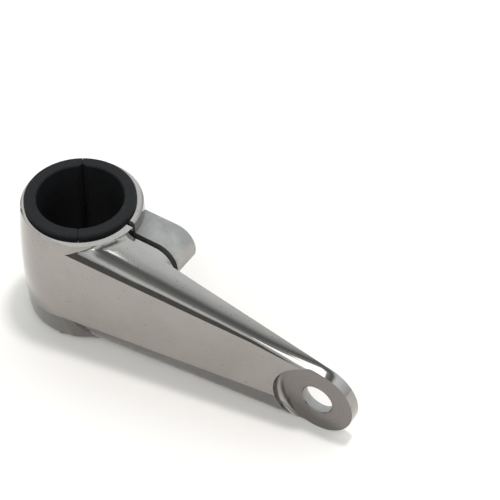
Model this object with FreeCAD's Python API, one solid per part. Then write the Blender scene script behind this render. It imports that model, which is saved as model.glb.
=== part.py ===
import FreeCAD, Part
import math
import os

from FreeCAD import Vector

# A cast headlight bracket that clamps round a fork leg.
# The fork axis is Z, the arm runs to +X and its polished face looks to -Y.
# Millimetres and degrees.

# Fork clamp
fork_dia = 35.0
bore_dia = 45.0
ring_above = 28.5           # top rim, above the plane halfway between the clamp screws
ring_below = 27.0
ring_wall = 1.9             # at the rims
ring_bulge = 1.5            # how far the belly stands out past the rims
ring_shift = 0.7            # the ring's outside sits this far towards the split
rim_break = 0.7
base_round = 2.5
collar_step = 1.2           # collar beside the arm, outside the rim's radius
collar_foot = 2.2           # hollow round at the foot of that collar

# Rubber shim, in two halves
shim_length = 57.0
shim_proud = 2.0            # above the ring's top rim
shim_clearance = 0.1
shim_edge = 0.5
seam_gap = 0.2
seam_azimuth = -56.0
notch_width = 1.5           # at each seam's inner edge, to either side
notch_depth = 1.0

# Split, lugs and their screws
split_width = 2.5
lug_radius = 9.0
lug_gap_root = 28.0         # bottom of the gap between the lugs, from the fork axis
lug_thickness = 13.4
lug_edge = 0.6
boss_root = 0.3             # fixed bosses run this far into the arm's wall
bolt_reach = 36.5
bolt_spacing = 28.0
bolt_dia = 6.0
bolt_length = 20.0
head_dia = 10.0
head_height = 6.0
head_edge = 0.5
hex_across = 5.0
hex_depth = 3.0
head_clearance = 0.75
head_sink = 0.3
shank_clearance = 0.3
thread_clearance = 0.02
thread_run_out = 2.0

# Arm
eye_reach = 117.0
eye_drop = 7.3
eye_radius = 15.5
eye_hole_dia = 13.0
eye_chamfer_outer = 0.4
eye_chamfer_inner = 0.8
eye_thickness = 4.7
spot_depth = 1.6            # face of the eye below the arm's outer face
spot_margin = 2.0
spot_round = 1.9
inner_face = 5.3            # flat inner side of the arm, from the fork axis
top_taper = 11.2
bottom_taper = 3.3
band_width = 4.8            # sloping band along the top of the outer face
band_drop_root = 7.15
band_drop_tip = 0.5
band_reach = 89.0           # from here on the band is nearly level
band_soft = 1.8
lip_slope = 61.0            # steep lip between the band and the outer face
lip_root = 3.4
lip_tip = 0.45
lip_soft_root = 1.2
lip_soft_tip = 0.2
bottom_land = 1.0
bottom_bevel = 8.0
bottom_soft = 0.4
roll_root = 12.9            # length of the round under the outer face
roll_tip = 0.6

# Pocket in the arm's inner side
arm_wall = 5.2
pocket_rim_top = 2.6
pocket_rim_bottom = 4.6
pocket_draft_top = 4.0
pocket_draft_bottom = 28.0
pocket_ring_wall = 10.5
pocket_eye_margin = 2.6
pocket_round = 1.5
mark_dia = 5.0
mark_depth = 0.4
mark_reach = 56.0
mark_drop = 7.0

# Values that follow from the sizes above
bore_radius = bore_dia / 2
rim_radius = bore_radius + ring_wall
belly_radius = rim_radius + ring_bulge
collar_radius = rim_radius + collar_step
lug_spread = bolt_spacing / 2
lug_gap = lug_spread - lug_radius
lug_face = split_width / 2 + lug_thickness
seat_face = lug_face - head_height - head_sink
pad_face = inner_face + eye_thickness
spot_radius = eye_radius + spot_margin
tip_reach = eye_reach + eye_radius
clear = ring_above + ring_below     # cutters reach this far past the casting
beside = clear / 4                  # and this far to each side of the arm
near = 0.01                         # how close an edge lies to the place it is looked for
hex_sides = 6

X, Y, Z = Vector(1, 0, 0), Vector(0, 1, 0), Vector(0, 0, 1)
ring_centre = Vector(ring_shift, 0, 0)


def face_angle():
    """Angle of the outer face: tangent to the ring's belly, proud of the eye by the spot depth."""
    across = pad_face + spot_depth
    along = eye_reach - ring_shift
    return math.asin(belly_radius / math.hypot(along, across)) - math.atan2(across, along)


def belly_arc():
    """Radius of the arc that makes the ring's belly."""
    sagitta = belly_radius - rim_radius
    return (ring_above ** 2 + sagitta ** 2) / (2 * sagitta)


def ring_radius(z):
    """Outside radius of the bellied ring at a height."""
    return belly_radius - belly_arc() + math.sqrt(belly_arc() ** 2 - z ** 2)


def outer_y(x, z):
    """Where the arm's outer face lies at a station along the arm."""
    angle = face_angle()
    return (x - ring_shift) * math.tan(angle) - ring_radius(z) / math.cos(angle)


def edge_z(x, side):
    """Height of the arm's top (side +1) or bottom (side -1) edge on its inner face."""
    taper = math.radians(top_taper if side > 0 else bottom_taper)
    return side * (eye_radius / math.cos(taper) + (eye_reach - x) * math.tan(taper)) - eye_drop


def prism(points, direction):
    """A solid from a closed outline of points, pushed along a direction."""
    return Part.Face(Part.makePolygon(points + points[:1])).extrude(direction)


def cylinder_y(radius, x, z, y_from, y_to):
    """A cylinder along Y between two stations."""
    return Part.makeCylinder(radius, y_to - y_from, Vector(x, y_from, z), Y)


def rounded(before, corner, after, tangent):
    """Arc that rounds a corner, leaving it this far along both sides."""
    u, v = (before - corner).normalize(), (after - corner).normalize()
    half = u.getAngle(v) / 2
    middle = corner + (u + v).normalize() * (tangent / math.cos(half) - tangent * math.tan(half))
    return Part.Arc(corner + u * tangent, middle, corner + v * tangent).toShape()


def joined(edges):
    """Closed wire from arcs and edges in order, with straight lines between their ends."""
    chain = []
    for edge, following in zip(edges, edges[1:] + edges[:1]):
        start, end = edge.valueAt(edge.LastParameter), following.valueAt(following.FirstParameter)
        chain.append(edge)
        if start.distanceToPoint(end) > near:
            chain.append(Part.makeLine(start, end))
    return Part.Wire(chain)


def rim_corner(level, size):
    """Points of a round from the belly to a rim: on the belly, halfway, on the rim."""
    side = math.copysign(1, level)
    height = level - side * size
    reach = math.sqrt((belly_arc() - size) ** 2 - height ** 2)
    centre = Vector(belly_radius - belly_arc() + reach, 0, height)
    out, up = Vector(reach, 0, height).normalize(), Z * side
    return [centre + way.normalize() * size for way in (out, out + up, up)]


def belly_between(low, high):
    """The belly's arc from one point on it to another."""
    return Part.Arc(low, Vector(belly_radius, 0, 0), high).toShape()


def ring_blank():
    """The bellied ring, solid, with its top rim broken and its foot rounded."""
    high, low = rim_corner(ring_above, rim_break), rim_corner(-ring_below, base_round)
    axis = Part.makeLine(Z * ring_above, -Z * ring_below)
    foot = Part.Arc(*reversed(low)).toShape()
    section = joined([foot, belly_between(low[0], high[0]), Part.makeLine(high[0], high[-1]), axis])
    return Part.Face(section).revolve(Vector(), Z, 360).translated(ring_centre)


def collar_end():
    """The collar's end beside the split."""
    collar = Part.makeCylinder(collar_radius, ring_above, ring_centre)
    return collar.common(Part.makeBox(clear, inner_face, clear, Vector(0, -inner_face, 0)))


def slab_blank():
    """The belly's section pushed along the outer face, down to the flat inner side."""
    angle = math.degrees(face_angle())
    ends = [Vector(ring_radius(z), 0, z) for z in (-ring_below, ring_above)]
    axis = Part.makeLine(Z * ring_above, -Z * ring_below)
    face = Part.Face(joined([belly_between(*ends), axis]))
    face.rotate(Vector(), Z, angle - 90)
    face.translate(ring_centre)
    along = FreeCAD.Rotation(Z, angle).multVec(X)
    slab = face.extrude(along * (tip_reach + beside))
    inner = Part.makeBox(2 * clear + tip_reach, clear, 2 * clear, Vector(-clear, -inner_face, -clear))
    return slab.cut(inner)


def along_band(x, root, tip):
    """A size that changes evenly from the ring to where the band is level."""
    return root + (tip - root) * min(x / band_reach, 1)


def lip_rise():
    """Direction up the lip, across the arm."""
    slope = math.radians(lip_slope)
    return Vector(0, math.cos(slope), math.sin(slope))


def top_corners(x):
    """Where the top's land ends, the band meets the lip and the lip meets the outer face."""
    land = edge_z(x, 1)
    level = land - along_band(x, band_drop_root, band_drop_tip)
    foot = Vector(x, outer_y(x, level), level)
    knee = foot + lip_rise() * along_band(x, lip_root, lip_tip)
    return Vector(x, foot.y + band_width, land), knee, foot


def closed_above(edges, side):
    """Closed section from a chain of edges, carried up (side +1) or down (side -1) past the casting."""
    first, last = edges[0].firstVertex(True).Point, edges[-1].lastVertex(True).Point
    high = side * 2 * clear
    out = Part.makeLine(last, Vector(last.x, last.y, high))
    back = Part.makeLine(Vector(first.x, first.y, high), first)
    return joined(edges + [out, back])


def top_section(x):
    """What lies above the arm's top at one station: over the land and the sloping band."""
    border, knee, foot = top_corners(x)
    start = Vector(x, beside, border.z)
    soft = rounded(start, border, knee, band_soft)
    out = border + (knee - border) * (1 + beside / band_width)
    return closed_above([Part.makeLine(start, soft.firstVertex(True).Point), soft,
                         Part.makeLine(soft.lastVertex(True).Point, out)], 1)


def lip_section(x):
    """What lies outside the lip at one station."""
    border, knee, foot = top_corners(x)
    soft = rounded(border, knee, foot, along_band(x, lip_soft_root, lip_soft_tip))
    return closed_above([soft, Part.makeLine(soft.lastVertex(True).Point, foot - lip_rise() * beside)], 1)


def bottom_section(x):
    """What lies outside the arm's bottom at one station: land, bevel, round."""
    land, border_y = edge_z(x, -1), -inner_face - bottom_land
    level = land + (border_y - outer_y(x, 0)) * math.tan(math.radians(bottom_bevel))
    turn = roll_root + (roll_tip - roll_root) * x / tip_reach
    start, border = Vector(x, beside, land), Vector(x, border_y, land)
    corner = Vector(x, outer_y(x, level), level)
    soft = rounded(start, border, corner, bottom_soft)
    rolled = rounded(border, corner, corner + Z * clear, turn)
    out = corner - Y * beside + Z * turn
    return closed_above([Part.makeLine(start, soft.firstVertex(True).Point), soft,
                         Part.makeLine(soft.lastVertex(True).Point, rolled.firstVertex(True).Point), rolled,
                         Part.makeLine(rolled.lastVertex(True).Point, out)], -1)


def on_collar(edge):
    """Whether an edge runs round the collar at the foot of its wall."""
    box = edge.BoundBox
    radii = [math.hypot(p.x - ring_shift, p.y) for p in edge.discretize(5)]
    round_it = all(abs(radius - collar_radius) < near for radius in radii)
    return round_it and box.XLength + box.YLength > near and max(abs(box.ZMin), abs(box.ZMax)) < clear


def off_collar(cutter):
    """A cutter that leaves the collar round the ring."""
    return cutter.cut(Part.makeCylinder(collar_radius, 6 * clear, ring_centre - Z * 3 * clear))


def top_cutter():
    """Cutter along the arm's top, with the hollow round at the collar's foot."""
    sections = [top_section(x) for x in (0, band_reach, tip_reach)]
    cutter = off_collar(Part.makeLoft(sections, True, True))
    return cutter.makeFillet(collar_foot, [e for e in cutter.Edges if on_collar(e)])


def lip_cutter():
    """Cutter outside the lip."""
    return off_collar(Part.makeLoft([lip_section(x) for x in (0, band_reach, tip_reach)], True, True))


def bottom_cutter():
    """Cutter along the arm's bottom."""
    return off_collar(Part.makeLoft([bottom_section(x) for x in (0, tip_reach)], True, True))


def tip_cutter():
    """Everything past the eye's round end."""
    angles = [math.radians(90 - top_taper), 0, math.radians(bottom_taper - 90)]
    centre = Vector(eye_reach, 0, -eye_drop)
    top, tip, bottom = [centre + Vector(math.cos(a), 0, math.sin(a)) * eye_radius for a in angles]
    end = tip_reach + clear
    outline = [Part.Arc(top, tip, bottom).toShape()]
    outline += Part.makePolygon([bottom, Vector(bottom.x, 0, -clear), Vector(end, 0, -clear),
                                 Vector(end, 0, clear), Vector(top.x, 0, clear), top]).Edges
    return Part.Face(Part.Wire(outline)).translated(-Y * clear).extrude(Y * 2 * clear)


def floor_y(x):
    """Floor of the pocket, a wall's thickness inside the outer face."""
    return outer_y(x, 0) + arm_wall / math.cos(face_angle())


def pocket_corner(x, side, y):
    """A point on the pocket's drafted side wall at a depth."""
    rim = pocket_rim_top if side > 0 else pocket_rim_bottom
    draft = math.radians(pocket_draft_top if side > 0 else pocket_draft_bottom)
    return Vector(x, y, edge_z(x, side) - side * (rim - (y + inner_face) * math.tan(draft)))


def is_floor_edge(edge):
    """Whether an edge runs along the foot of one of the pocket's side walls."""
    along = edge.BoundBox.XLength > eye_reach / 2
    return along and all(abs(p.y - floor_y(p.x)) < near for p in edge.discretize(3))


def pocket():
    """The hollow in the arm's inner side, between the ring and the eye."""
    outlines = []
    for depth in (lambda x: split_width, floor_y):
        stations = [(bore_radius, 1), (eye_reach, 1), (eye_reach, -1), (bore_radius, -1)]
        points = [pocket_corner(x, side, depth(x)) for x, side in stations]
        outlines.append(Part.makePolygon(points + points[:1]))
    hollow = Part.makeLoft(outlines, True, True)
    hollow = hollow.makeFillet(pocket_round, [e for e in hollow.Edges if is_floor_edge(e)])
    ring = Part.makeCylinder(belly_radius + pocket_ring_wall, 2 * clear, ring_centre - Z * clear)
    eye = cylinder_y(eye_radius + pocket_eye_margin, eye_reach, -eye_drop, -clear, clear)
    return hollow.cut(ring).cut(eye)


def ejector_mark():
    """Shallow round mark in the pocket's floor."""
    into = FreeCAD.Rotation(Z, math.degrees(face_angle()) - 90).multVec(X)
    bottom = Vector(mark_reach, floor_y(mark_reach), -mark_drop) + into * mark_depth
    return Part.makeCylinder(mark_dia / 2, 2 * mark_depth, bottom, -into)


def lug_outline():
    """Two round-ended lugs with a rounded gap between them, in the plane y = 0."""
    top, end, start = lug_spread + lug_radius, bolt_reach + lug_radius, bore_radius / 2
    gap_centre = lug_gap_root + lug_gap

    def at(x, z):
        return Vector(x, 0, z)

    upper = Part.Arc(at(bolt_reach, top), at(end, lug_spread), at(bolt_reach, lug_gap))
    root = Part.Arc(at(gap_centre, lug_gap), at(lug_gap_root, 0), at(gap_centre, -lug_gap))
    lower = Part.Arc(at(bolt_reach, -lug_gap), at(end, -lug_spread), at(bolt_reach, -top))
    back = Part.makeLine(at(start, -top), at(start, top))
    return Part.Face(joined([upper.toShape(), root.toShape(), lower.toShape(), back]))


def free_lugs():
    """The lugs on the ring's free end, with the edge of their face broken."""
    lugs = lug_outline().extrude(Y * lug_face)
    rim = [e for e in lugs.Edges if e.BoundBox.YMin > lug_face - near and e.BoundBox.XMax > bore_radius]
    return lugs.makeChamfer(lug_edge, rim)


def fixed_bosses():
    """The lugs' other half, standing in the pocket."""
    return lug_outline().extrude(Y * (floor_y(bore_radius) - boss_root))


def screw_holes():
    """Counterbore and clearance hole in each free lug, threaded hole in the boss behind it."""
    holes = []
    for z in (lug_spread, -lug_spread):
        tap_end = seat_face - bolt_length - thread_run_out
        holes.append(cylinder_y(bolt_dia / 2 + thread_clearance, bolt_reach, z, tap_end, 0))
        holes.append(cylinder_y(bolt_dia / 2 + shank_clearance, bolt_reach, z, 0, lug_face))
        holes.append(cylinder_y(head_dia / 2 + head_clearance, bolt_reach, z, seat_face, lug_face + clear))
    return holes


def eye_hole():
    """The lamp's bolt hole, broken at both ends."""
    radius, z = eye_hole_dia / 2, -eye_drop
    hole = cylinder_y(radius, eye_reach, z, -clear, clear)
    outside, inside = Vector(eye_reach, -pad_face, z), Vector(eye_reach, -inner_face, z)
    outer = Part.makeCone(radius + eye_chamfer_outer, radius, eye_chamfer_outer, outside, Y)
    inner = Part.makeCone(radius + eye_chamfer_inner, radius, eye_chamfer_inner, inside, -Y)
    return hole.fuse([outer, inner])


def spot_face():
    """Round flat cut into the outer face about the eye, with a soft foot."""
    spot = cylinder_y(spot_radius, eye_reach, -eye_drop, -clear, -pad_face)
    foot = [e for e in spot.Edges if e.BoundBox.YMin > -pad_face - near]
    return spot.makeFillet(spot_round, foot)


def casting():
    body = ring_blank().fuse(slab_blank()).cut(pocket()).fuse([fixed_bosses(), collar_end()])
    body = body.cut(top_cutter()).cut(lip_cutter()).cut(bottom_cutter()).cut(tip_cutter())
    eye = cylinder_y(eye_radius, eye_reach, -eye_drop, -pad_face, -inner_face)
    body = body.cut(spot_face()).fuse(eye).fuse(free_lugs())
    bore = Part.makeCylinder(bore_radius, 2 * clear, -Z * clear)
    split = Part.makeBox(bolt_reach + clear, split_width, 2 * clear, Vector(0, -split_width / 2, -clear))
    body = body.cut([bore, split, eye_hole(), ejector_mark()] + screw_holes())
    return body.removeSplitter()


def shim_half(turn):
    """Half of the rubber sleeve between the ring and the fork."""
    inner, outer = fork_dia / 2, bore_radius - shim_clearance
    top = ring_above + shim_proud
    low = top - shim_length
    edge = shim_edge
    corners = [(inner, low + edge), (inner + edge, low), (outer - edge, low), (outer, low + edge),
               (outer, top - edge), (outer - edge, top), (inner + edge, top), (inner, top - edge)]
    points = [Vector(r, 0, z) for r, z in corners]
    sleeve = Part.Face(Part.makePolygon(points + points[:1])).revolve(Vector(), Z, 360)
    face = seam_gap / 2
    other = Part.makeBox(2 * clear, clear, 4 * clear, Vector(-clear, face - clear, -2 * clear))
    notches = []
    for way in (1, -1):
        deep, shallow = inner + notch_depth, inner - notch_depth
        corners = [(deep, face), (shallow, face + 2 * notch_width), (shallow, face)]
        notches.append(prism([Vector(way * x, y, -clear) for x, y in corners], Z * 2 * clear))
    half = sleeve.cut([other] + notches)
    half.rotate(Vector(), Z, turn)
    return half


def clamp_screw(z):
    """Socket cap screw, its head seated in the lug's counterbore."""
    shank = cylinder_y(bolt_dia / 2, bolt_reach, z, seat_face - bolt_length, seat_face)
    tip = [e for e in shank.Edges if e.BoundBox.YMax < seat_face - bolt_length + near]
    shank = shank.makeChamfer(head_edge, tip)
    top = seat_face + head_height
    head = cylinder_y(head_dia / 2, bolt_reach, z, seat_face, top)
    head = head.makeChamfer(head_edge, [e for e in head.Edges if e.BoundBox.YMin > top - near])
    corner = hex_across / 2 / math.cos(math.pi / hex_sides)
    angles = [2 * math.pi * i / hex_sides for i in range(hex_sides)]
    points = [Vector(bolt_reach + corner * math.cos(a), top, z + corner * math.sin(a)) for a in angles]
    socket = prism(points, -Y * hex_depth)
    return shank.fuse(head).cut(socket)


def main():
    os.makedirs("parts", exist_ok=True)
    casting().exportStep("parts/bracket_casting.step")
    shim_half(seam_azimuth).exportStep("parts/front_shim_half.step")
    shim_half(seam_azimuth + 180).exportStep("parts/rear_shim_half.step")
    screws = Part.makeCompound([clamp_screw(lug_spread), clamp_screw(-lug_spread)])
    screws.exportStep("parts/clamp_screws.step")


main()
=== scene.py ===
# %% [markdown]
# # A cast headlight bracket
# The bracket clamps round a motorbike's fork leg and carries one side of a headlamp. It is one aluminium
# casting, polished where it is seen on the bike and left as cast behind, lined with two rubber halves and
# closed by two socket screws. The solids come from CAD, so their places and sizes are settled. What
# Blender adds is the skin: smooth shading, the finishes, the screws' knurls and threads, and the light.

# %% Load the frame
import math

import bmesh
import bpy
from mathutils import Matrix, Vector


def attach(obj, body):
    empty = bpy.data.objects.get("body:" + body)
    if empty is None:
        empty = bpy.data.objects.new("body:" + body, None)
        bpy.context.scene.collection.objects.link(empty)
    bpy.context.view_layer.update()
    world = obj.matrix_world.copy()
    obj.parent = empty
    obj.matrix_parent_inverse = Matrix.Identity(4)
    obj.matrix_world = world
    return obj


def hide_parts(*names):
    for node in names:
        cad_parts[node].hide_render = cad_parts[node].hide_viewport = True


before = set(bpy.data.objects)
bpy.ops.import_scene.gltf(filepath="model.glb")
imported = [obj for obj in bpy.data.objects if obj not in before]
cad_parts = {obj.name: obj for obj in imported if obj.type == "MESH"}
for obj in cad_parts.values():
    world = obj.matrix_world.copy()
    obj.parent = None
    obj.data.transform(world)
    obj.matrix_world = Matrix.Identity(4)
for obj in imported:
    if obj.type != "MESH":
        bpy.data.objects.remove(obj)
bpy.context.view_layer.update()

MM = 0.001

# %% [markdown]
# ## The camera
# A product photograph like this is taken from a little above with a long lens, so that parallel edges
# stay nearly parallel. The camera could be aimed at a target with a constraint, but a written matrix is
# plainer and says exactly where it stands: its columns are the picture's right, its up, and the way back
# to the lens.

# %% Camera
camera = bpy.data.objects.new("camera", bpy.data.cameras.new("camera"))
bpy.context.scene.collection.objects.link(camera)
camera.data.sensor_width = 36.0
camera.data.lens = 114.05
right = Vector((0.84465, 0.53494, 0.02035))
up = Vector((-0.39886, 0.60352, 0.69040))
back = Vector((0.35703, -0.59127, 0.72312))
place = Vector((288.918, -347.371, 470.132)) * MM
camera.matrix_world = Matrix.Translation(place) @ Matrix((right, up, back)).transposed().to_4x4()
bpy.context.scene.camera = camera
print("camera", round(place.length / MM), "mm from the fork axis")

# %% [markdown]
# ## A node group for cloudy change
# No real surface is one flat colour. Most finishes here need the same thing: a slow cloudy change, and
# small specks that are few and sharp. Each material could hold its own noises, but one group of two, with
# its sizes as inputs, serves them all.

# %% Node group: clouds and specks


def new_group(name, inputs, outputs):
    """A shader node group with float inputs and outputs, and its two end nodes."""
    tree = bpy.data.node_groups.new(name, "ShaderNodeTree")
    for label, value in inputs.items():
        socket = tree.interface.new_socket(label, in_out="INPUT", socket_type="NodeSocketFloat")
        socket.default_value = value
    for label in outputs:
        tree.interface.new_socket(label, in_out="OUTPUT", socket_type="NodeSocketFloat")
    return tree, tree.nodes.new("NodeGroupInput"), tree.nodes.new("NodeGroupOutput")


def node(tree, kind, links=None, **settings):
    """A node with its settings. Links map an input to the socket that feeds it, or to a value."""
    made = tree.nodes.new(kind)
    for key, value in settings.items():
        setattr(made, key, value)
    for key, value in (links or {}).items():
        if isinstance(value, bpy.types.NodeSocket):
            tree.links.new(value, made.inputs[key])
        else:
            made.inputs[key].default_value = value
    return made


def math_node(tree, operation, *values):
    """One sum on sockets or numbers; gives the result's socket."""
    return node(tree, "ShaderNodeMath", dict(enumerate(values)), operation=operation).outputs[0]


def span(tree, value, low, high):
    """Value taken from low..high to 0..1, smoothly."""
    links = {"Value": value, "From Min": low, "From Max": high}
    return node(tree, "ShaderNodeMapRange", links, interpolation_type="SMOOTHSTEP").outputs["Result"]


def clouds_and_specks():
    """Slow clouds, and specks that come out more often as their share grows."""
    tree, ins, outs = new_group("clouds and specks",
                                {"Cloud Scale": 40.0, "Speck Scale": 700.0, "Speck Share": 0.4},
                                ("Cloud", "Speck"))
    where = node(tree, "ShaderNodeTexCoord").outputs["Object"]
    cloud = node(tree, "ShaderNodeTexNoise", {"Vector": where, "Scale": ins.outputs["Cloud Scale"],
                                              "Detail": 4.0, "Roughness": 0.6})
    speck = node(tree, "ShaderNodeTexNoise", {"Vector": where, "Scale": ins.outputs["Speck Scale"],
                                              "Detail": 2.0, "Roughness": 0.5})
    tree.links.new(cloud.outputs["Fac"], outs.inputs["Cloud"])
    low = math_node(tree, "SUBTRACT", 0.82, math_node(tree, "MULTIPLY", ins.outputs["Speck Share"], 0.4))
    high = math_node(tree, "ADD", low, 0.09)
    tree.links.new(span(tree, speck.outputs["Fac"], low, high), outs.inputs["Speck"])
    return tree


CLOUDS = clouds_and_specks()
print("group made:", CLOUDS.name)

# %% [markdown]
# ## A node group for polishing lines
# A buffing wheel leaves fine lines along the way it is drawn. On this part it runs along the arm, so the
# lines are long in X and close together across it. A wave texture would draw them too evenly. A noise
# that is squeezed across the arm gives lines of uneven length and strength.

# %% Node group: buffing lines


def buffing_lines():
    """Fine lines along X."""
    tree, ins, outs = new_group("buffing lines", {"Along": 14.0, "Across": 1500.0}, ("Line",))
    where = node(tree, "ShaderNodeTexCoord").outputs["Object"]
    stretch = node(tree, "ShaderNodeCombineXYZ", {"X": ins.outputs["Along"], "Y": ins.outputs["Across"],
                                                  "Z": ins.outputs["Across"]})
    squeezed = node(tree, "ShaderNodeVectorMath", {0: where, 1: stretch.outputs[0]}, operation="MULTIPLY")
    line = node(tree, "ShaderNodeTexNoise", {"Vector": squeezed.outputs[0], "Scale": 1.0, "Detail": 3.0})
    tree.links.new(line.outputs["Fac"], outs.inputs["Line"])
    return tree


BUFFING = buffing_lines()
print("group made:", BUFFING.name)

# %% [markdown]
# ## Helpers for materials
# Every finish here is one Principled shader. What is constant is set on the shader's own sockets, and
# what changes over the surface is linked to them.

# %% Material helpers


def new_material(name, **constants):
    """A material with one Principled shader, its constants set on the shader's own sockets."""
    material = bpy.data.materials.new(name)
    material.use_nodes = True
    tree = material.node_tree
    shader = next(n for n in tree.nodes if n.type == "BSDF_PRINCIPLED")
    for key, value in constants.items():
        shader.inputs[key.replace("_", " ")].default_value = value
    return material, tree, shader


def use(tree, group, **values):
    """A group placed in a material, with its own values."""
    inputs = {key.replace("_", " "): value for key, value in values.items()}
    return node(tree, "ShaderNodeGroup", inputs, node_tree=group)


def mix_colour(tree, share, first, second):
    """Two colours mixed by a share that changes over the surface."""
    mixed = node(tree, "ShaderNodeMix", {"Factor": share}, data_type="RGBA")
    for socket, colour in zip([s for s in mixed.inputs if s.type == "RGBA"], (first, second)):
        if isinstance(colour, bpy.types.NodeSocket):
            tree.links.new(colour, socket)
        else:
            socket.default_value = (*colour, 1.0)
    return next(s for s in mixed.outputs if s.type == "RGBA")


def coat(tree, shader, colour, rough):
    """A changing colour and roughness on the shader."""
    tree.links.new(colour, shader.inputs["Base Color"])
    tree.links.new(rough, shader.inputs["Roughness"])


def bump(tree, shader, height, strength, distance):
    """A Bump node on the shader's normal."""
    made = node(tree, "ShaderNodeBump", {"Height": height, "Strength": strength, "Distance": distance})
    tree.links.new(made.outputs["Normal"], shader.inputs["Normal"])


print("helpers ready for", len(bpy.data.node_groups), "node groups")

# %% [markdown]
# ## Polished aluminium
# The seen side is buffed until it mirrors the table, but a casting keeps pores: tiny dark specks, and a
# faint cloudiness. A plain metallic shader would look like chrome, so the specks darken the colour, and
# the buffing lines move the roughness and the surface by a little.

# %% Material: polished aluminium


def polished_aluminium():
    """Buffed metal with pores."""
    material, tree, shader = new_material("polished_aluminium", Metallic=1.0)
    pores = use(tree, CLOUDS, Cloud_Scale=45.0, Speck_Scale=900.0, Speck_Share=0.42)
    lines = use(tree, BUFFING, Along=18.0, Across=1400.0)
    cloud = span(tree, pores.outputs["Cloud"], 0.3, 0.7)
    clouded = mix_colour(tree, cloud, (0.322, 0.302, 0.286), (0.356, 0.334, 0.316))
    speck = math_node(tree, "MULTIPLY", pores.outputs["Speck"], 0.5)
    colour = mix_colour(tree, speck, clouded, (0.13, 0.11, 0.10))
    coat(tree, shader, colour, math_node(tree, "MULTIPLY_ADD", lines.outputs["Line"], 0.06, 0.07))
    bump(tree, shader, lines.outputs["Line"], 0.003, 0.00005)
    return material


POLISHED = polished_aluminium()
print("material made:", POLISHED.name)

# %% [markdown]
# ## Satin aluminium, as cast
# Behind, nobody polishes: the pocket, the lugs and the inner face keep the grey, slightly rough skin of
# the mould, with stains where polish and oil have settled. It is the same metal, rougher, paler and
# blotchy.

# %% Material: as-cast aluminium


def cast_aluminium():
    """The mould's skin, with stains."""
    material, tree, shader = new_material("cast_aluminium_skin", Metallic=1.0)
    skin = use(tree, CLOUDS, Cloud_Scale=110.0, Speck_Scale=1500.0, Speck_Share=0.5)
    stain = use(tree, CLOUDS, Cloud_Scale=28.0, Speck_Scale=260.0, Speck_Share=0.35)
    cloud = span(tree, skin.outputs["Cloud"], 0.35, 0.7)
    clouded = mix_colour(tree, cloud, (0.36, 0.348, 0.336), (0.49, 0.473, 0.458))
    blotch = span(tree, stain.outputs["Cloud"], 0.52, 0.78)
    stained = mix_colour(tree, blotch, clouded, (0.24, 0.23, 0.21))
    speck = math_node(tree, "MULTIPLY", stain.outputs["Speck"], 0.5)
    colour = mix_colour(tree, speck, stained, (0.14, 0.135, 0.13))
    coat(tree, shader, colour, math_node(tree, "MULTIPLY_ADD", skin.outputs["Cloud"], 0.25, 0.42))
    grain = math_node(tree, "MULTIPLY_ADD", skin.outputs["Speck"], -0.6, skin.outputs["Cloud"])
    bump(tree, shader, grain, 0.25, 0.0003)
    return material


CAST = cast_aluminium()
print("material made:", CAST.name)

# %% [markdown]
# ## The spot face
# Round the eye's hole a cutter has faced the metal flat for the lamp's washer. It leaves fine rings about
# the hole. They could be drawn with a wave texture, but its rings are too even. A noise read along the
# distance from the hole's axis gives rings of uneven strength, and they shift both the roughness and the
# colour.

# %% Material: turned aluminium
EYE_X, EYE_Z, EYE_RADIUS = 117.0, -7.3, 15.5             # mm: the eye's round end


def turned_aluminium():
    """Metal with turning rings about the eye's hole."""
    material, tree, shader = new_material("turned_aluminium", Metallic=1.0)
    where = node(tree, "ShaderNodeTexCoord").outputs["Object"]
    centre = (EYE_X * MM, 0.0, EYE_Z * MM)
    away = node(tree, "ShaderNodeVectorMath", {0: where, 1: centre}, operation="SUBTRACT")
    flat = node(tree, "ShaderNodeVectorMath", {0: away.outputs[0], 1: (1.0, 0.0, 1.0)}, operation="MULTIPLY")
    reach = node(tree, "ShaderNodeVectorMath", {0: flat.outputs[0]}, operation="LENGTH").outputs["Value"]
    rings = node(tree, "ShaderNodeTexNoise", {"W": reach, "Scale": 2200.0, "Detail": 2.0},
                 noise_dimensions="1D").outputs["Fac"]
    pores = use(tree, CLOUDS, Cloud_Scale=70.0, Speck_Scale=900.0, Speck_Share=0.42)
    ring = span(tree, rings, 0.3, 0.7)
    ringed = mix_colour(tree, ring, (0.205, 0.192, 0.183), (0.262, 0.246, 0.234))
    cloud = math_node(tree, "MULTIPLY", pores.outputs["Cloud"], 0.35)
    colour = mix_colour(tree, cloud, ringed, (0.20, 0.18, 0.165))
    coat(tree, shader, colour, math_node(tree, "MULTIPLY_ADD", rings, 0.16, 0.14))
    return material


TURNED = turned_aluminium()
print("material made:", TURNED.name)

# %% [markdown]
# ## The casting's skin
# A CAD mesh is made of loose triangles, and a mirror finish shows every one of them. A remesh would blur
# the edges. Here the skin is a copy of that mesh with its doubled points merged, shaded smooth except
# over real edges.

# %% Skin of the casting


def skin_of(name, piece, edge_angle):
    """A merged and smoothly shaded copy of a CAD node's mesh, as a new piece."""
    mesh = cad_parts[name].data.copy()
    mesh.name = piece
    mesh.materials.clear()
    made = bmesh.new()
    made.from_mesh(mesh)
    bmesh.ops.remove_doubles(made, verts=made.verts, dist=0.002 * MM)
    for edge in made.edges:
        edge.smooth = edge.calc_face_angle(math.pi) < math.radians(edge_angle)
    for face in made.faces:
        face.smooth = True
    made.to_mesh(mesh)
    made.free()
    if "custom_normal" in mesh.attributes:
        mesh.attributes.remove(mesh.attributes["custom_normal"])
    skin = bpy.data.objects.new(piece, mesh)
    bpy.context.scene.collection.objects.link(skin)
    return skin


def reshape(piece, change):
    """A change to the points and faces of the piece's mesh."""
    made = bmesh.new()
    made.from_mesh(piece.data)
    change(made)
    made.to_mesh(piece.data)
    made.free()


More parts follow.
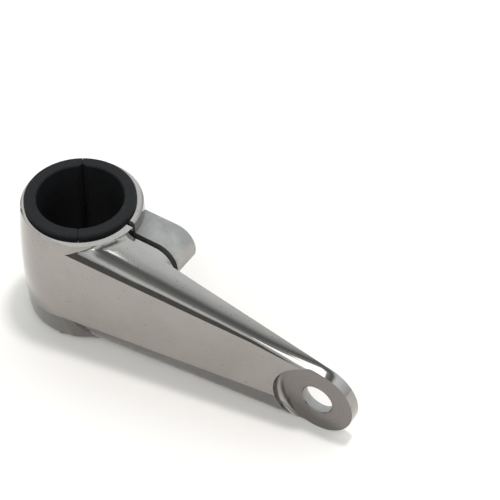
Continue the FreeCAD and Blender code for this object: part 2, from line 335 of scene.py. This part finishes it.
def settle(piece):
    """The piece with its modifiers taken into a plain mesh."""
    graph = bpy.context.evaluated_depsgraph_get()
    mesh = bpy.data.meshes.new_from_object(piece.evaluated_get(graph), depsgraph=graph)
    piece.modifiers.clear()
    piece.data = mesh
    return piece


casting = skin_of("bracket_casting", "casting_skin", 20)
print("casting skin:", len(casting.data.polygons), "faces")

# %% [markdown]
# ## Where things are on the casting
# The steps that follow pick faces by where they lie: round the ring, on the arm's side or top, at the
# eye. They could be picked by number, but numbers change with every new mesh. Distances from the ring's
# and the eye's axes and a few straight lines along the arm say the same thing for good.

# %% Measures on the casting
RING_SHIFT, RING_REACH, BORE = 0.7, 26.2, 22.6           # mm: axis and radius of the ring's outside, its bore
FACE_Y, FACE_SLOPE, FACE_BELLY = -26.10, 0.12468, 543    # the arm's outer face: at the ring, along X, over Z
ROLL_Z, RING_RISE, ARM_RISE = -15.06, 0.0944, 0.018      # the foot's roll: height, rise round ring and arm
FRONT_JOINT, BACK_JOINT = 8, 30                          # mm: X where the ring's rise gives way to the arm's


def rise(value, low, high):
    """0 up to low, 1 from high on, and even between."""
    return min(max((value - low) / (high - low), 0), 1)


def from_ring(point):
    """Distance of a point from the axis of the ring's outside, in mm."""
    return math.hypot(point.x - RING_SHIFT * MM, point.y) / MM


def from_eye(point):
    """Distance of a point from the axis of the eye's hole, in mm."""
    return math.hypot(point.x / MM - EYE_X, point.z / MM - EYE_Z)


def outer_face(x):
    """Y of the arm's outer face, halfway up."""
    return (x - RING_SHIFT) * FACE_SLOPE + FACE_Y


def roll_top(x, y=-20.0):
    """Height where the roll round the bracket's foot begins, along the ring and then along the arm."""
    joint = FRONT_JOINT if y < 0 else BACK_JOINT
    return ROLL_Z + RING_RISE * min(x, joint) + ARM_RISE * max(x - joint, 0)


print("roll begins at", round(roll_top(0), 1), "mm on the ring and", round(roll_top(EYE_X), 1), "at the eye")

# %% [markdown]
# ## Rows of points
# On the real part the wheel turns the edges over softly, and the light bends along lines that the CAD
# triangles don't have. The whole skin could be subdivided, at the cost of very many faces. Cutting the
# faces along a few planes puts rows of points just where the light turns: round the foot, and along the
# arm's top.

# %% Rows where the light turns
ROLL_FOOT = -24.6                                        # mm: Z of the row near the roll's lower end
ROOT_ROWS = (24, 27, 30, 34, 38, 43, 50)                 # mm: X of the rows across the arm's top
TOP_ROWS = (0.4, 0.8, 1.2, 1.6, 2.0, 2.4, 3.0, 4.0, 4.8, 5.7, 6.6, 8.4, 10.5)    # mm: from the top's edge
TOP_EDGE_X, TOP_EDGE_Y, TOP_SLOPE = 25, -21.77, 0.1115   # a point of the top's outer edge, and its run


def cut_across(made, where, point, normal):
    """A row of points across the faces that a test picks, along a plane."""
    faces = [f for f in made.faces if where(f.calc_center_median() / MM, f.normal)]
    around = {g for f in faces for g in (*f.verts, *f.edges)}
    bmesh.ops.bisect_plane(made, geom=[*faces, *around], plane_co=Vector(point) * MM, plane_no=normal)


def on_ring(p, n):
    """Whether a face at p, in mm, belongs to the ring's outside."""
    return 24 < from_ring(p * MM) < RING_REACH and p.x < 20 and abs(n.z) < 0.8


def on_bare_ring(p, n):
    """Whether it belongs to the ring's outside away from the arm."""
    return on_ring(p, n) and (p.x < FRONT_JOINT or p.y > 0)


def on_side(p, n):
    """Whether it belongs to the arm's outer side."""
    return p.x > FRONT_JOINT and p.y < -9 and n.y < 0.6 and abs(n.z) < 0.8


def on_top(p, n):
    """Whether it belongs to the arm's top."""
    return p.x > 20 and p.z > 6 and p.y < -5 and n.z > 0.62


def add_rows(made):
    """Rows where the foot's roll and the top's crown begin and turn."""
    cut_across(made, on_bare_ring, (0, 0, roll_top(0)), (-RING_RISE, 0, 1))
    cut_across(made, on_side, (FRONT_JOINT, 0, roll_top(FRONT_JOINT)), (-ARM_RISE, 0, 1))
    cut_across(made, on_ring, (0, 0, ROLL_FOOT), (0, 0, 1))
    for along in ROOT_ROWS:
        cut_across(made, on_top, (along, 0, 0), (1, 0, 0))
    for across in TOP_ROWS:
        cut_across(made, on_top, (TOP_EDGE_X, TOP_EDGE_Y + across, 0), (-TOP_SLOPE, 1, 0))


reshape(casting, add_rows)
print("casting skin with its rows:", len(casting.data.polygons), "faces")

# %% [markdown]
# ## The foot's corner
# Beside the arm the solid's foot keeps a short sharp corner, which the wheel would have taken off. It
# could be bevelled, but the roll beside it is already there: the corner's points are pulled in to the
# roll's foot, and less so where the arm begins. Normals weighted by the size of the faces then keep flats
# flat up to their rounds.

# %% Foot's corner rounded
FOOT_REACH = 23.1                                        # mm: radius of the roll's foot
CORNER_START, CORNER_END, CORNER_FADE = 3.3, 21, 6       # mm: X of the corner's ends, and its fading length


def round_corner(made):
    """The points of the foot's corner pulled in to the roll's foot."""
    for vert in made.verts:
        x, y, z = vert.co / MM
        reach = from_ring(vert.co)
        if z < -26.9 and 23.3 < reach < 25.8 and CORNER_START < x < CORNER_END and y < -10:
            pull = 1 - (reach - FOOT_REACH) * min((CORNER_END - x) / CORNER_FADE, 1) / reach
            vert.co.x = (RING_SHIFT + (x - RING_SHIFT) * pull) * MM
            vert.co.y = y * pull * MM


reshape(casting, round_corner)
weighted = casting.modifiers.new("flats", "WEIGHTED_NORMAL")
weighted.keep_sharp = True
weighted.weight = 60
settle(casting)
print("casting skin settled:", len(casting.data.polygons), "faces")

# %% [markdown]
# ## Which finish where
# The wheel reaches the ring, the arm's outer side and its edges. The bore, the split, the lugs, the
# pocket and the inner face stay as cast, and the spot face is turned. Three pieces could carry the three
# finishes, but the real part is one casting, so the faces of one skin are shared out by where they lie.

# %% Finish of each face
INNER_FACE, SPLIT, LUG_TOP = -5.2, 1.4, 23.2             # mm: inner face's Y, half the split, lugs' Z
SPLIT_RUN, LUG_END, HOLE_ZONE = 22, 48, 8                # mm: the split past the ring, the lugs' X, the hole
BOSS_FOOT, BOSS_END = 14, 50                             # mm: upper boss's Z and X that the wheel gets
SPOT_BACK, SPOT_FRONT = -9, -10.8                        # mm: Y on both sides of the spot face
TOP_AT_EYE, TOP_FALL = 8.5, 0.198                        # the arm's top line: Z at the eye, and its fall
BOTTOM_AT_EYE, BOTTOM_RISE = -22.83, 0.0577              # the arm's under line, the same
TOP_RIM, BOTTOM_RIM, WALL = 1.3, 1.5, 3.5                # mm: the pocket's rims and the arm's wall


def is_turned(centre, normal):
    """Whether a face of the casting is the spot face round the eye's hole."""
    level = SPOT_FRONT < centre.y / MM < SPOT_BACK
    return from_eye(centre) < EYE_RADIUS + 1 and normal.y < -0.6 and level


def is_in_pocket(centre):
    """Whether a face of the casting lies between the pocket's rims and behind the arm's wall."""
    x, y, z = centre / MM
    top = TOP_AT_EYE + (EYE_X - x) * TOP_FALL
    bottom = BOTTOM_AT_EYE - (EYE_X - x) * BOTTOM_RISE
    between = bottom + BOTTOM_RIM < z < top - TOP_RIM
    return between and y > outer_face(x) + WALL and from_eye(centre) > EYE_RADIUS + 0.2


def is_polished(centre, normal):
    """Whether a face of the casting lies where the buffing wheel reaches."""
    x, y, z = centre / MM
    out = from_ring(centre)
    if math.hypot(x, y) < BORE or (x > 0 and abs(y) < SPLIT and out < RING_REACH + SPLIT_RUN):
        return False
    if from_eye(centre) < HOLE_ZONE:
        return False
    boss = y < -SPLIT and z > BOSS_FOOT and x < BOSS_END
    if out < RING_REACH or (boss and normal.z > -0.2 and normal.y < 0.3):
        return True
    inner = y > INNER_FACE - 0.2 and normal.y > 0.3
    lug = y > -SPLIT and x < LUG_END and abs(z) < LUG_TOP
    return not (inner or lug or is_in_pocket(centre))


def finish_of(face):
    """Place of a face's finish in the casting's list of materials."""
    if is_turned(face.center, face.normal):
        return 2
    return 0 if is_polished(face.center, face.normal) else 1


for material in (POLISHED, CAST, TURNED):
    casting.data.materials.append(material)
for face in casting.data.polygons:
    face.material_index = finish_of(face)
polished_area = sum(f.area for f in casting.data.polygons if f.material_index == 0)
print(f"polished: {polished_area / sum(f.area for f in casting.data.polygons):.0%} of the skin")

# %% [markdown]
# ## The crown along the arm's top
# The real arm's top is rounder across than the solid's band, which is flat, and a mirror shows it: a dark
# line along the lip, a bright one beside it and a dark one behind. Modelling that round would take far
# finer faces. Leaning the normals of the rows by an angle that falls from the lip inwards gives the same
# reflections on the same mesh, at the cost of an outline that stays flat.

# %% Lean of the top
TIP_TURN = 0.09                                          # how far the top's normals turn to X near the eye
LIP_START = 40                                           # mm: X from where the lip's dark line needs help


def crown(x, y, z):
    """Lean of the buffed top at a point in mm, in degrees from level towards the outer face.

    Each row is a place across the top, as Y in mm, and the lean there.
    """
    x = min(x, EYE_X)
    foot = outer_face(x) + z * z / FACE_BELLY
    lip = 1.6 - 1.4 * rise(x, 10, EYE_X)                 # the lip's width, which narrows to the eye
    steep = rise(x, LIP_START, 70)                       # its dark line grows past the lip,
    calm, tip = rise(x, 100, 108), rise(x, 97, 114)      # then ends, and the bright patch begins
    border = 14 - 3 * rise(x, 20, 100)                   # lean where bright turns to dark
    rows = [(foot, 60 - 14 * calm), (foot + lip - 0.3 + 0.7 * steep, 59 - 16 * calm),
            (foot + lip + 0.2 + 0.8 * steep, 40),
            (foot + 3.0 + 1.3 * tip, border + 8 + 15 * tip), (foot + 4.8 + tip, border),
            (foot + 6.6 + tip, border - 5), (foot + 12.0, 1), (30, -3)]
    for (low, first), (high, second) in zip(rows, rows[1:]):
        if y < high:
            return first + (second - first) * max(y - low, 0) / (high - low)
    return 0.0


def buffed_top(point, normal):
    """A normal of the arm's top or the eye's rim, leaned by the crown, and less so towards the ring."""
    x, y, z = point / MM
    level = Vector((normal.x + TIP_TURN * rise(x, 92, 110), 0, normal.z)).normalized()
    lean = math.radians(crown(x, y, z)) * (1 - rise(x, 118, 124))
    crowned = level * math.cos(lean) - Vector((0, math.sin(lean), 0))
    return normal.lerp(crowned, rise(from_ring(point), 26.5, 28.5)).normalized()


print("lean halfway along the arm:", [round(crown(60, -18.5 + i, 17)) for i in range(0, 12, 2)])

# %% [markdown]
# ## The roll round the foot
# Below a line round the ring and along the arm the metal rolls under, and mirrors the shaded table there.
# The roll begins with a definite edge in the real part, so its normals tilt down at once, by more on the
# arm than on the ring.

# %% Normals of the buffed faces
RING_TILT, ARM_TILT = 24, 32                             # degrees: the roll's first tilt on ring and arm


def buffed_roll(point, normal):
    """A normal of the roll round the foot, turned down at least as far as the roll's first row."""
    level = Vector((normal.x, normal.y, 0)).normalized()
    first = RING_TILT + (ARM_TILT - RING_TILT) * rise(point.x / MM, 16, 26)
    down = max(math.asin(-normal.z), math.radians(first))
    return level * math.cos(down) - Vector((0, 0, math.sin(down)))


def buffing_of(face):
    """How the wheel shapes a face's corners, by where the face lies."""
    x, y, z = face.center / MM
    flat, out, eye = face.normal, from_ring(face.center), from_eye(face.center)
    wall = x > EYE_X and abs(eye - EYE_RADIUS) < 0.6 and abs(flat.y) < 0.35
    upward = flat.z > (0.40 if x > LIP_START else 0.62)
    if wall or (upward and y < INNER_FACE + 0.3 and x > 10 and z > 6):
        return buffed_top
    low = z < roll_top(x, y) - 0.02 and -0.9 < flat.z < 0.1
    outside = out > 24 and eye > 19 and (flat.y < 0.5 or out < RING_REACH)
    return buffed_roll if low and outside else None


skin = casting.data
corner_normals = [Vector(c.vector) for c in skin.corner_normals]
buffed = [(f, buffing_of(f)) for f in skin.polygons if f.material_index == 0]
buffed = [(f, shape) for f, shape in buffed if shape]
for face, shape in buffed:
    for i in face.loop_indices:
        corner_normals[i] = shape(skin.vertices[skin.loops[i].vertex_index].co, corner_normals[i])
skin.normals_split_custom_set(corner_normals)
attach(casting, "root")
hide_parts("bracket_casting")
print("buffed faces:", len(buffed))

# %% [markdown]
# ## The rubber halves
# The sleeve is moulded rubber, cut along two seams so that it opens round the fork. Rubber is black but
# never quite dark: the top catches light, a fine grain breaks the gloss, and specks of dust sit on it. A
# flat black would hide the seams and the rounded rim.

# %% Material and skin: rubber


def shim_rubber():
    """Black rubber with a fine grain and specks of dust."""
    material, tree, shader = new_material("shim_rubber_skin", Metallic=0.0, Specular_IOR_Level=0.2)
    grain = use(tree, CLOUDS, Cloud_Scale=160.0, Speck_Scale=1100.0, Speck_Share=0.45)
    clouded = mix_colour(tree, grain.outputs["Cloud"], (0.007, 0.0068, 0.0075), (0.013, 0.0128, 0.014))
    dust = math_node(tree, "MULTIPLY", grain.outputs["Speck"], 0.25)
    colour = mix_colour(tree, dust, clouded, (0.09, 0.09, 0.092))
    coat(tree, shader, colour, math_node(tree, "MULTIPLY_ADD", grain.outputs["Cloud"], 0.2, 0.5))
    bump(tree, shader, grain.outputs["Cloud"], 0.3, 0.0002)
    return material


RUBBER = shim_rubber()
for half in ("front_shim_half", "rear_shim_half"):
    shim = skin_of(half, half.replace("_half", "_skin"), 30)
    shim.data.materials.append(RUBBER)
    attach(shim, "root")
    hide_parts(half)
    print("rubber skin:", shim.name, len(shim.data.polygons), "faces")

# %% [markdown]
# ## Steel for the screws
# The screws are bare steel that has been handled: brighter where it rubs, darker in small pits. Worn
# steel is one metal with two greys mixed by clouds.

# %% Material: screw steel


def screw_steel():
    """Bare steel, a little worn."""
    material, tree, shader = new_material("screw_steel_skin", Metallic=1.0)
    wear = use(tree, CLOUDS, Cloud_Scale=300.0, Speck_Scale=1600.0, Speck_Share=0.45)
    clouded = mix_colour(tree, wear.outputs["Cloud"], (0.30, 0.30, 0.30), (0.48, 0.475, 0.465))
    pit = math_node(tree, "MULTIPLY", wear.outputs["Speck"], 0.6)
    colour = mix_colour(tree, pit, clouded, (0.12, 0.11, 0.10))
    coat(tree, shader, colour, math_node(tree, "MULTIPLY_ADD", wear.outputs["Cloud"], 0.2, 0.2))
    bump(tree, shader, wear.outputs["Cloud"], 0.15, 0.0001)
    return material


STEEL = screw_steel()
print("material made:", STEEL.name)

# %% [markdown]
# ## One clamp screw
# A socket cap screw has a knurled head so that fingers can spin it in, a hexagon socket for the key, and
# a rolled thread. It could be joined from cylinders with booleans. Here one mesh is lofted from rings of
# points, row by row from the thread's tip to the bottom of the socket, so it closes by itself. The
# thread's ridges are plain rings, since the turns can't be told apart behind the lug.

# %% One screw
AROUND = 72                                              # points in each ring
SHANK, HEAD, SOCKET = 3.0, 5.0, 2.5                      # mm: radii, and half the socket across flats
LENGTH, HEAD_HEIGHT, SOCKET_DEPTH, PITCH = 20.0, 6.0, 3.0, 1.0
TIP_ROUND, THREAD_DEPTH, KNURL = 0.6, 0.5, 0.16          # mm


def ring_of(radius, y, knurl=0.0):
    """A ring of points about Y. Every second point of a knurled ring lies deeper."""
    turns = [2 * math.pi * i / AROUND for i in range(AROUND)]
    radii = [radius - knurl * (i % 2) for i in range(AROUND)]
    return [(r * math.cos(a), y, r * math.sin(a)) for r, a in zip(radii, turns)]


def hexagon(flat, y):
    """As many points as a ring has, on a hexagon's sides."""
    points = []
    for i in range(AROUND):
        turn = 2 * math.pi * i / AROUND
        off = (turn % (math.pi / 3)) - math.pi / 6
        radius = flat / math.cos(off)
        points.append((radius * math.cos(turn), y, radius * math.sin(turn)))
    return points


def shank_rows():
    """Rings of the tip, the thread and the plain neck."""
    rows = [ring_of(0.4, -LENGTH), ring_of(SHANK - TIP_ROUND, -LENGTH)]
    y = -LENGTH + TIP_ROUND
    while y < -PITCH:
        rows += [ring_of(SHANK - 0.02, y), ring_of(SHANK - THREAD_DEPTH, y + PITCH / 2)]
        y += PITCH
    return rows + [ring_of(SHANK - 0.05, -0.4), ring_of(SHANK - 0.05, 0.0)]


def head_rows():
    """Rings of the knurled head, its rounded top and the socket."""
    rows = [ring_of(HEAD - 0.25, 0.0), ring_of(HEAD - 0.1, 0.15)]
    rows += [ring_of(HEAD, 0.5, KNURL), ring_of(HEAD, HEAD_HEIGHT - 0.9, KNURL)]
    rows += [ring_of(HEAD - 0.1, HEAD_HEIGHT - 0.5), ring_of(HEAD - 0.28, HEAD_HEIGHT - 0.12)]
    rows += [ring_of(HEAD - 0.6, HEAD_HEIGHT)]
    rows += [ring_of(SOCKET / math.cos(math.pi / 6) + 0.15, HEAD_HEIGHT)]
    rows += [hexagon(SOCKET, HEAD_HEIGHT - 0.25), hexagon(SOCKET, HEAD_HEIGHT - SOCKET_DEPTH)]
    return rows + [ring_of(0.3, HEAD_HEIGHT - SOCKET_DEPTH - 0.5)]


def loft(name, rows):
    """A closed mesh through rings with the same number of points."""
    made = bmesh.new()
    rings = [[made.verts.new(Vector(p) * MM) for p in row] for row in rows]
    for low, high in zip(rings, rings[1:]):
        for i in range(AROUND):
            j = (i + 1) % AROUND
            made.faces.new((low[i], low[j], high[j], high[i]))
    made.faces.new(rings[0])
    made.faces.new(rings[-1][::-1])
    bmesh.ops.recalc_face_normals(made, faces=made.faces)
    for face in made.faces:
        face.smooth = True
    for edge in made.edges:
        edge.smooth = edge.calc_face_angle(math.pi) < math.radians(32)
    mesh = bpy.data.meshes.new(name)
    made.to_mesh(mesh)
    made.free()
    return mesh


screw_pattern = bpy.data.objects.new("screw_pattern", loft("screw_pattern", shank_rows() + head_rows()))
print("screw pattern:", len(screw_pattern.data.polygons), "faces")

# %% [markdown]
# ## The pair of screws
# Both screws are the same and stand a bolt spacing apart, one above the other. Instead of two meshes, a
# Geometry Nodes tree puts copies of the one screw on a row of points.

# %% The pair of screws
FIRST_SCREW, SPACING = (36.5, 8.35, -14.0), 28.0         # mm: under the lower head, and from screw to screw


def screw_pair_tree():
    """Geometry Nodes: copies of a screw in a row, realised, with their material."""
    tree = bpy.data.node_groups.new("screw pair", "GeometryNodeTree")
    kinds = {"Screw": "Object", "Count": "Int", "First": "Vector", "Spacing": "Float", "Finish": "Material"}
    for label, kind in kinds.items():
        tree.interface.new_socket(label, in_out="INPUT", socket_type="NodeSocket" + kind)
    tree.interface.new_socket("Screws", in_out="OUTPUT", socket_type="NodeSocketGeometry")
    given, outs = tree.nodes.new("NodeGroupInput").outputs, tree.nodes.new("NodeGroupOutput")
    step = node(tree, "ShaderNodeCombineXYZ", {"Z": given["Spacing"]})
    row = node(tree, "GeometryNodeMeshLine", {"Count": given["Count"], "Start Location": given["First"],
                                              "Offset": step.outputs[0]})
    screw = node(tree, "GeometryNodeObjectInfo", {"Object": given["Screw"]})
    copies = node(tree, "GeometryNodeInstanceOnPoints", {"Points": row.outputs["Mesh"],
                                                         "Instance": screw.outputs["Geometry"]})
    real = node(tree, "GeometryNodeRealizeInstances", {"Geometry": copies.outputs["Instances"]})
    dressed = node(tree, "GeometryNodeSetMaterial", {"Geometry": real.outputs["Geometry"],
                                                     "Material": given["Finish"]})
    tree.links.new(dressed.outputs["Geometry"], outs.inputs["Screws"])
    return tree


screws = bpy.data.objects.new("clamp_screw_pair", bpy.data.meshes.new("clamp_screw_pair"))
bpy.context.scene.collection.objects.link(screws)
pair = screws.modifiers.new("pair", "NODES")
pair.node_group = screw_pair_tree()
values = {"Screw": screw_pattern, "Count": 2, "First": tuple(v * MM for v in FIRST_SCREW),
          "Spacing": SPACING * MM, "Finish": STEEL}
for item in pair.node_group.interface.items_tree:
    if item.in_out == "INPUT":
        pair[item.identifier] = values[item.name]
settle(screws)
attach(screws, "root")
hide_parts("clamp_screws")
print("screws:", len(screws.data.polygons), "faces")

# %% [markdown]
# ## The table
# The bracket lies on a white table. It rests on the ring's foot and on the eye, which is a little higher,
# so the table is a plane through both instead of a level floor with a gap under the eye.

# %% Table
FOOT_X, FOOT_LOW, EYE_LOW = 24.0, -27.0, -22.75          # mm: where the ring's foot and the eye touch
CLEAR, TABLE_HALF = 0.05, 6000                           # mm: kept clear under the foot, half the table
SLOPE = (EYE_LOW - FOOT_LOW) / (EYE_X - FOOT_X)


def table_height(x):
    """Height of the table under a station along the arm."""
    return FOOT_LOW - CLEAR + (x - FOOT_X) * SLOPE


corners = [(-TABLE_HALF, -TABLE_HALF), (TABLE_HALF, -TABLE_HALF),
           (TABLE_HALF, TABLE_HALF), (-TABLE_HALF, TABLE_HALF)]
table_mesh = bpy.data.meshes.new("table")
table_mesh.from_pydata([Vector((x, y, table_height(x))) * MM for x, y in corners], [], [(0, 1, 2, 3)])
table = bpy.data.objects.new("table", table_mesh)
bpy.context.scene.collection.objects.link(table)
white, _, shader = new_material("white_table", Roughness=0.9, Specular_IOR_Level=0.1)
shader.inputs["Base Color"].default_value = (0.955, 0.90, 0.865, 1.0)
table.data.materials.append(white)
print("table slope:", round(math.degrees(math.atan(SLOPE)), 2), "degrees")

# %% [markdown]
# ## The room
# Polished metal shows its surroundings more than itself. A plain white world would leave every edge one
# grey. This room is dark low in front, bright higher up in front, dark overhead and bright behind, and
# that is what draws the dark and bright lines along the arm. A ramp over the tilt from front to back
# holds it all.

# %% Room
ROOM_TINT = (0.93, 1.0, 1.02)                            # a cool daylight
ROOM = [(-90, 0.15), (-80, 0.22), (-70, 0.8), (-60, 0.95), (-45, 1.25), (-36, 1.2), (-28, 0.95),
        (-18, 0.52), (-8, 0.38), (4, 0.24), (11, 0.26), (18, 0.66), (26, 1.18), (34, 1.46), (45, 1.4),
        (60, 1.1), (90, 0.75)]                           # degrees from overhead, + behind, and brightness

world = bpy.data.worlds.new("room")
bpy.context.scene.world = world
world.use_nodes = True
room = world.node_tree
sky = next(n for n in room.nodes if n.type == "BACKGROUND")
way = node(room, "ShaderNodeTexCoord").outputs["Generated"]
parts = node(room, "ShaderNodeSeparateXYZ", {0: way})
tilt = math_node(room, "ARCTAN2", parts.outputs["Y"], parts.outputs["Z"])
ramp = node(room, "ShaderNodeValToRGB", {"Fac": math_node(room, "MULTIPLY_ADD", tilt, 1 / math.pi, 0.5)})
elements = ramp.color_ramp.elements
for i, (degrees, level) in enumerate(ROOM):
    stop = elements[i] if i < 2 else elements.new(degrees / 180 + 0.5)
    stop.position = degrees / 180 + 0.5
    stop.color = (*(level * tint for tint in ROOM_TINT), 1.0)
room.links.new(ramp.outputs["Color"], sky.inputs["Color"])
sky.inputs["Strength"].default_value = 1.0
print("room:", len(elements), "stops from front to back")

# %% [markdown]
# ## The lamps
# A small ceiling lamp gives the table its shadow, and the metal doesn't mirror it. Two soft boxes are
# there to be mirrored: one behind draws the highlight at the arm's root, one in front the bright patch
# above the eye. Power would have to be guessed anew for each size, so a lamp is given by its brightness.

# %% Lamps


def lamp(name, way, distance, size, radiance, mirrored=True):
    """An area lamp in a direction from the bracket, facing it, by its size in metres and its brightness."""
    data = bpy.data.lights.new(name, "AREA")
    data.shape = "RECTANGLE"
    data.size, data.size_y = size
    data.energy = radiance * math.pi * size[0] * size[1]
    made = bpy.data.objects.new(name, data)
    made.location = Vector(way).normalized() * distance
    made.rotation_euler = Vector(way).to_track_quat("Z", "Y").to_euler()
    made.visible_glossy = mirrored
    bpy.context.scene.collection.objects.link(made)


lamp("ceiling_light", (0.10, 0.14, 0.98), 1.3, (0.15, 0.15), 96.0, mirrored=False)
lamp("root_spot", (-0.102, 0.275, 0.955), 1.15, (0.064, 0.17), 4.2)
lamp("tip_box", (0.23, -0.58, 0.78), 1.2, (0.30, 0.48), 2.6)

# %% [markdown]
# ## A dark flag
# Photographers stand a black card beyond the table so that steep polished edges, here the arm's lip,
# reflect something dark and stand out. A darker room would dim everything else as well. The card is low
# and in front, outside the picture, and no camera sees it, only the metal does.

# %% Flag
FLAG_LEFT, FLAG_RIGHT, FLAG_LOW, FLAG_HIGH, FLAG_Y = -1.0, 0.3, -0.03, 0.30, -0.95    # metres

edges = [(FLAG_LEFT, FLAG_LOW), (FLAG_RIGHT, FLAG_LOW), (FLAG_RIGHT, FLAG_HIGH), (FLAG_LEFT, FLAG_HIGH)]
flag_mesh = bpy.data.meshes.new("dark_flag")
flag_mesh.from_pydata([(x, FLAG_Y, z) for x, z in edges], [], [(0, 1, 2, 3)])
flag = bpy.data.objects.new("dark_flag", flag_mesh)
bpy.context.scene.collection.objects.link(flag)
card, _, shader = new_material("black_card", Roughness=0.9)
shader.inputs["Base Color"].default_value = (0.13, 0.13, 0.125, 1.0)
flag.data.materials.append(card)
flag.visible_camera = False
flag.visible_diffuse = False
print("flag:", [round(v, 2) for v in flag.dimensions])

# %% [markdown]
# ## Colours
# The colours above were chosen as they should appear, so the picture is made without a film-like curve.

# %% Colours as written
bpy.context.scene.view_settings.view_transform = "Standard"
